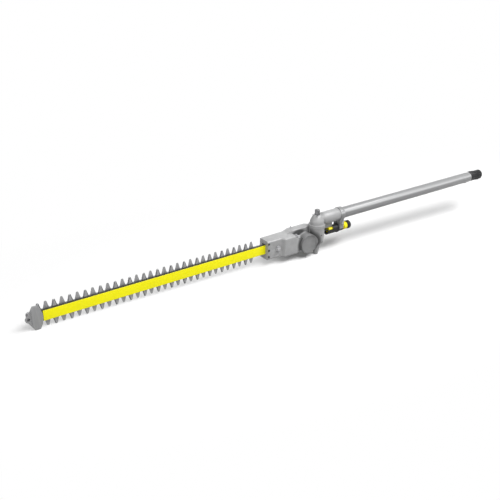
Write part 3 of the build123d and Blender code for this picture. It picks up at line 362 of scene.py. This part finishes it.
# Finish of each material slot
FINISHES = {
    "cast_alloy": make_cast_alloy(),
    "pole_silver": make_pole_silver(),
    "blade_steel": make_blade_steel("ground_blade_steel", BLADE_GREY, rooted=False),
    "strip_yellow": make_strip_yellow(),
    "lock_yellow": make_moulding("lock_yellow_moulding", LOCK_YELLOW, 0.34, 0.44),
    "black_plastic": make_moulding("black_moulding", CAP_BLACK, 0.42, 0.58),
    "bright_zinc": make_plated("bright_zinc_plate", ZINC_BRIGHT, 0.9, 0.22, 0.34),
    "dark_screw": make_plated("black_oxide", OXIDE_DARK, 0.6, 0.36, 0.48),
    "gear_steel": make_plated("machined_gear_steel", GEAR_GREY, 0.9, 0.28, 0.40),
    "bush_bronze": make_plated("bush_bronze", BRONZE, 0.9, 0.30, 0.42),
}
# Pieces that look different from their slot
OWN_FINISH = {
    "tip_guard": make_blade_steel("tip_guard_steel", GUARD_GREY, rooted=False),
    "front_blade": make_blade_steel("front_blade_steel", BLADE_GREY, rooted=True),
    "dome_bolt": make_plated("dome_bolt_steel", BOLT_GREY, 0.7, 0.34, 0.46),
}
# Second finish of a piece, for the faces whose normal's Y lies between two values
FLANK_FINISH = {
    "front_blade": make_blade_steel("front_tooth_flank", GROUND_GREY, rooted=True),
    "rear_blade": make_blade_steel("rear_tooth_flank", GROUND_GREY, rooted=False),
    # Painted shade on the edge faces of the cover strip
    "cover_strip": make_moulding("strip_edge_painted_shade", STRIP_EDGE_SHADE, 0.40, 0.55),
}
FLANKS = {"front_blade": (0.2, 0.95), "rear_blade": (0.2, 0.95), "cover_strip": (-0.1, 0.8)}


def finish_of(name):
    """Finish of a CAD piece: its own, or its slot's."""
    return OWN_FINISH.get(name, FINISHES[slots_of_nodes[name]])


# Pieces shown as smooth copies of their solids, with the rounding of their edges
ROUNDED = {
    "upper_housing": 0.0004,
    "lower_housing": 0.0004,
    "gear_case": 0.0007,
    "case_cover": 0.0006,
    "lock_bracket": 0.0006,
    "lock_guide": 0.0004,
    "lock_plunger": 0.0004,
    "tip_guard": 0.0005,
    "cover_strip": 0.0,
    "pole_tube": 0.0003,
    "end_cap": 0.0,
    "lock_knob": 0.0,
    "dome_bolt": 0.0003,
    "dome_washer": 0.0002,
    "axle_bolt": 0.0003,
    "neck_bolts": 0.0003,
    "band_screw": 0.0002,
    "mouth_screws": 0.0002,
    "cover_screws": 0.0002,
    "bar_screws": 0.0002,
    "guard_screws": 0.0002,
    "grease_nipple": 0.0002,
    "front_blade": 0.0,
    "rear_blade": 0.0,
    "locating_lug": 0.0,
    "lock_pin": 0.0,
    "lock_spring": 0.0,
}
SHARP_ANGLE = radians(32)
FLAT_ANGLE = radians(0.5)
MERGE_DISTANCE = 2e-6
ROUNDING_STEPS = 2


def fold(edge):
    """Angle between the two faces of an edge, or none where it has not two."""
    return edge.calc_face_angle(0) if len(edge.link_faces) == 2 else None


def smooth_copy(name, rounding):
    """Copy of a CAD piece with merged corners, rounded edges and smooth shading."""
    mesh = nodes[name].data.copy()
    mesh.name = name + "_skin"
    work = bmesh.new()
    work.from_mesh(mesh)
    bmesh.ops.remove_doubles(work, verts=work.verts, dist=MERGE_DISTANCE)
    bmesh.ops.dissolve_limit(work, angle_limit=FLAT_ANGLE, verts=work.verts, edges=work.edges)
    if rounding:
        sharp = [edge for edge in work.edges if (fold(edge) or 0) > SHARP_ANGLE]
        bmesh.ops.bevel(work, geom=sharp, offset=rounding, offset_type="OFFSET",
                        segments=ROUNDING_STEPS, profile=0.5, affect="EDGES", clamp_overlap=True)
    bmesh.ops.triangulate(work, faces=[face for face in work.faces if len(face.verts) > 4])
    for face in work.faces:
        face.smooth = True
    for edge in work.edges:
        angle = fold(edge)
        edge.smooth = angle is not None and angle < SHARP_ANGLE
    work.to_mesh(mesh)
    work.free()
    mesh.materials.clear()
    mesh.materials.append(finish_of(name))
    if name in FLANKS:
        low, high = FLANKS[name]
        mesh.materials.append(FLANK_FINISH[name])
        for face in mesh.polygons:
            face.material_index = 1 if low < abs(face.normal.y) < high else 0
    piece = bpy.data.objects.new(name + "_skin", mesh)
    bpy.context.scene.collection.objects.link(piece)
    if name == "lock_spring":
        low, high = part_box(name)
        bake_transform(piece)
    else:
        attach(piece, bodies_of_nodes[name])
    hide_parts(name)


for name, solid in nodes.items():
    if name not in ROUNDED:
        solid.data.materials.clear()
        solid.data.materials.append(finish_of(name))
for name, rounding in ROUNDED.items():
    smooth_copy(name, rounding)


# Raised grip ribs between the flutes of the cap and the lock knob
RIB_SIDES = 12
RIB_TURN = (radians(15), radians(90), 0)


def rib_tree():
    """Geometry Nodes tree: round ribs in a ring about X."""
    tree = bpy.data.node_groups.new("rib_ring", "GeometryNodeTree")
    for label, kind in (("Ribs", "NodeSocketInt"), ("Ring radius", "NodeSocketFloat"),
                        ("Rib radius", "NodeSocketFloat"), ("Rib length", "NodeSocketFloat"),
                        ("Centre", "NodeSocketVector"), ("Finish", "NodeSocketMaterial")):
        tree.interface.new_socket(label, in_out="INPUT", socket_type=kind)
    tree.interface.new_socket("Geometry", in_out="OUTPUT", socket_type="NodeSocketGeometry")
    given = tree.nodes.new("NodeGroupInput")
    ring = tree.nodes.new("GeometryNodeMeshCircle")
    join(tree, given, "Ribs", ring, "Vertices")
    join(tree, given, "Ring radius", ring, "Radius")
    rib = node(tree, "GeometryNodeMeshCylinder", Vertices=RIB_SIDES)
    join(tree, given, "Rib radius", rib, "Radius")
    join(tree, given, "Rib length", rib, "Depth")
    spread = tree.nodes.new("GeometryNodeInstanceOnPoints")
    join(tree, ring, "Mesh", spread, "Points")
    join(tree, rib, "Mesh", spread, "Instance")
    turn = node(tree, "GeometryNodeTransform", Rotation=RIB_TURN)
    join(tree, spread, "Instances", turn, "Geometry")
    join(tree, given, "Centre", turn, "Translation")
    solid = tree.nodes.new("GeometryNodeRealizeInstances")
    join(tree, turn, "Geometry", solid, "Geometry")
    smooth = tree.nodes.new("GeometryNodeSetShadeSmooth")
    join(tree, solid, "Geometry", smooth, "Geometry")
    paint = tree.nodes.new("GeometryNodeSetMaterial")
    join(tree, smooth, "Geometry", paint, "Geometry")
    join(tree, given, "Finish", paint, "Material")
    result = tree.nodes.new("NodeGroupOutput")
    join(tree, paint, "Geometry", result, "Geometry")
    return tree


RIB_TREE = rib_tree()


def add_ribs(name, carrier, ribs, sink, rib_radius, start, end):
    """Ribs on a round piece that lies along X, as a plain mesh on the carrier's body."""
    low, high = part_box(carrier)
    centre = ((start + end) / 2, (low[1] + high[1]) / 2, (low[2] + high[2]) / 2)
    values = {"Ribs": ribs, "Ring radius": (high[1] - low[1]) / 2 - sink,
              "Rib radius": rib_radius, "Rib length": end - start, "Centre": centre,
              "Finish": finish_of(carrier)}
    source = bpy.data.objects.new(name + "_source", bpy.data.meshes.new(name + "_source"))
    bpy.context.scene.collection.objects.link(source)
    modifier = source.modifiers.new("ribs", "NODES")
    modifier.node_group = RIB_TREE
    for item in RIB_TREE.interface.items_tree:
        if item.in_out == "INPUT":
            modifier[item.identifier] = values[item.name]
    evaluated = source.evaluated_get(bpy.context.evaluated_depsgraph_get())
    mesh = bpy.data.meshes.new_from_object(evaluated)
    mesh.name = name
    bpy.data.objects.remove(source)
    piece = bpy.data.objects.new(name, mesh)
    bpy.context.scene.collection.objects.link(piece)
    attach(piece, bodies_of_nodes[carrier])


CAP_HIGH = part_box("end_cap")[1][0]
KNOB_LOW, KNOB_HIGH = (corner[0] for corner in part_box("lock_knob"))
add_ribs("cap_grip_ribs", "end_cap", ribs=12, sink=0.00025, rib_radius=0.0007,
         start=CAP_HIGH - 0.038, end=CAP_HIGH - 0.005)
add_ribs("knob_grip_ribs", "lock_knob", ribs=12, sink=0.00015, rib_radius=0.00045,
         start=KNOB_LOW + 0.001, end=KNOB_HIGH - 0.0035)


# Floor: its plane, its brightness to the eye and to other rays
FLOOR_SLOPE = 0.0280
FLOOR_HALF = 6.0
FLOOR_GAP = 0.0002
FLOOR_SEEN = 0.79
FLOOR_BOUNCE = 0.34

# Where the floor keeps the object's shadow, and how far it is lifted to white
SHADOW_MIDDLE = (0.20, 0, 0)
SHADOW_ROOM = (1.30, 0.55, 0)
SHADOW_FADE_FROM = 0.42
BLADE_SHADOW_FROM, BLADE_SHADOW_TO = -0.05, -0.17
BLADE_SHADOW_LIFT = 0.60
TIP_SHADOW_MIDDLE = (-0.69, 0, 0)
TIP_SHADOW_ROOM = (0.13, 0.13, 0)
TIP_FADE_FROM = 0.2
TIP_SHADOW_LIFT = 0.70

# Lamps: name, place, width, height, power
WORLD_LIGHT = 0.16
LAMP_AIM = (-0.05, 0.0, 0.05)
LAMPS = (
    ("key_softbox", (0.70, -1.45, 2.75), 3.8, 1.3, 167),
    ("back_softbox", (1.15, 2.70, 1.55), 2.8, 1.5, 16),
    ("fill_softbox", (-2.80, -0.40, 0.80), 1.4, 1.0, 24),
)


def background_rays(tree):
    """One for the rays that show the background: camera, glossy and transmission."""
    rays = tree.nodes.new("ShaderNodeLightPath")
    seen = combine(tree, "MAXIMUM", rays, "Is Camera Ray", rays, "Is Glossy Ray")
    return combine(tree, "MAXIMUM", seen, "Value", rays, "Is Transmission Ray")


def shadow_lift(tree):
    """Share of white over the floor: none round the head, some at the blade, all far away."""
    place = tree.nodes.new("ShaderNodeTexCoord")
    reach = distance_from(tree, place, SHADOW_MIDDLE, SHADOW_ROOM)
    fade = smooth_step(tree, reach, "Value", SHADOW_FADE_FROM, 1.0, 0.0, 1.0)
    blade_fade = smooth_step(tree, split_axes(tree, place), "X", BLADE_SHADOW_TO,
                             BLADE_SHADOW_FROM, BLADE_SHADOW_LIFT, 0.0)
    tip_reach = distance_from(tree, place, TIP_SHADOW_MIDDLE, TIP_SHADOW_ROOM)
    tip_fade = smooth_step(tree, tip_reach, "Value", TIP_FADE_FROM, 1.0, TIP_SHADOW_LIFT, 1.0)
    soft = combine(tree, "MAXIMUM", fade, "Result", blade_fade, "Result")
    return combine(tree, "MULTIPLY", soft, "Value", tip_fade, "Result")


def make_floor_white():
    """Pale floor paint, with white laid over it away from the object's shadow."""
    finish = bpy.data.materials.new("floor_white")
    finish.use_nodes = True
    tree = finish.node_tree
    tree.nodes.clear()
    output = tree.nodes.new("ShaderNodeOutputMaterial")
    shown = background_rays(tree)
    tone = node(tree, "ShaderNodeMapRange", To_Min=FLOOR_BOUNCE, To_Max=FLOOR_SEEN)
    join(tree, shown, "Value", tone, "Value")
    paint = tree.nodes.new("ShaderNodeBsdfDiffuse")
    join(tree, tone, "Result", paint, "Color")
    glow = node(tree, "ShaderNodeEmission", Strength=1.0)
    weight = combine(tree, "MULTIPLY", shown, "Value", shadow_lift(tree), "Value")
    mix = tree.nodes.new("ShaderNodeMixShader")
    join(tree, weight, "Value", mix, "Fac")
    join(tree, paint, "BSDF", mix, 1)
    join(tree, glow, "Emission", mix, 2)
    join(tree, mix, "Shader", output, "Surface")
    return finish


def add_floor():
    """Floor that touches the boss foot and the tip guard."""
    corners = [(-FLOOR_HALF, -FLOOR_HALF), (FLOOR_HALF, -FLOOR_HALF), (FLOOR_HALF, FLOOR_HALF),
               (-FLOOR_HALF, FLOOR_HALF)]
    mesh = bpy.data.meshes.new("floor")
    mesh.from_pydata([(x, y, -FLOOR_SLOPE * x - FLOOR_GAP) for x, y in corners], [],
                     [(0, 1, 2, 3)])
    mesh.materials.append(make_floor_white())
    floor = bpy.data.objects.new("floor", mesh)
    bpy.context.scene.collection.objects.link(floor)


def add_world():
    """White surroundings to the eye, softer light on the object."""
    world = bpy.data.worlds.new("studio")
    bpy.context.scene.world = world
    world.use_nodes = True
    tree = world.node_tree
    tree.nodes.clear()
    output = tree.nodes.new("ShaderNodeOutputWorld")
    strength = node(tree, "ShaderNodeMapRange", To_Min=WORLD_LIGHT, To_Max=1.0)
    join(tree, background_rays(tree), "Value", strength, "Value")
    sky = node(tree, "ShaderNodeBackground", Color=(1, 1, 1, 1))
    join(tree, strength, "Result", sky, "Strength")
    join(tree, sky, "Background", output, "Surface")


def add_softbox(name, place, width, height, power):
    """Rectangular lamp at a place, facing the object."""
    lamp = bpy.data.lights.new(name, "AREA")
    lamp.shape = "RECTANGLE"
    lamp.size = width
    lamp.size_y = height
    lamp.energy = power
    box = bpy.data.objects.new(name, lamp)
    box.location = place
    box.rotation_euler = (Vector(LAMP_AIM) - Vector(place)).to_track_quat("-Z", "Y").to_euler()
    bpy.context.scene.collection.objects.link(box)


def add_camera():
    """Camera at the photograph's place and angle."""
    camera = bpy.data.cameras.new("photo_camera")
    camera.lens = CAMERA_LENS
    camera.sensor_width = SENSOR_WIDTH
    camera.clip_start = CLIP_NEAR
    camera.clip_end = CLIP_FAR
    eye = bpy.data.objects.new("photo_camera", camera)
    look = Vector((sin(CAMERA_AZIMUTH) * cos(CAMERA_ELEVATION),
                   cos(CAMERA_AZIMUTH) * cos(CAMERA_ELEVATION),
                   -sin(CAMERA_ELEVATION)))
    eye.location = CAMERA_PLACE
    eye.rotation_euler = look.to_track_quat("-Z", "Y").to_euler()
    bpy.context.scene.collection.objects.link(eye)
    bpy.context.scene.camera = eye


add_floor()
add_world()
for lamp in LAMPS:
    add_softbox(*lamp)
add_camera()
bpy.context.scene.view_settings.view_transform = "Standard"
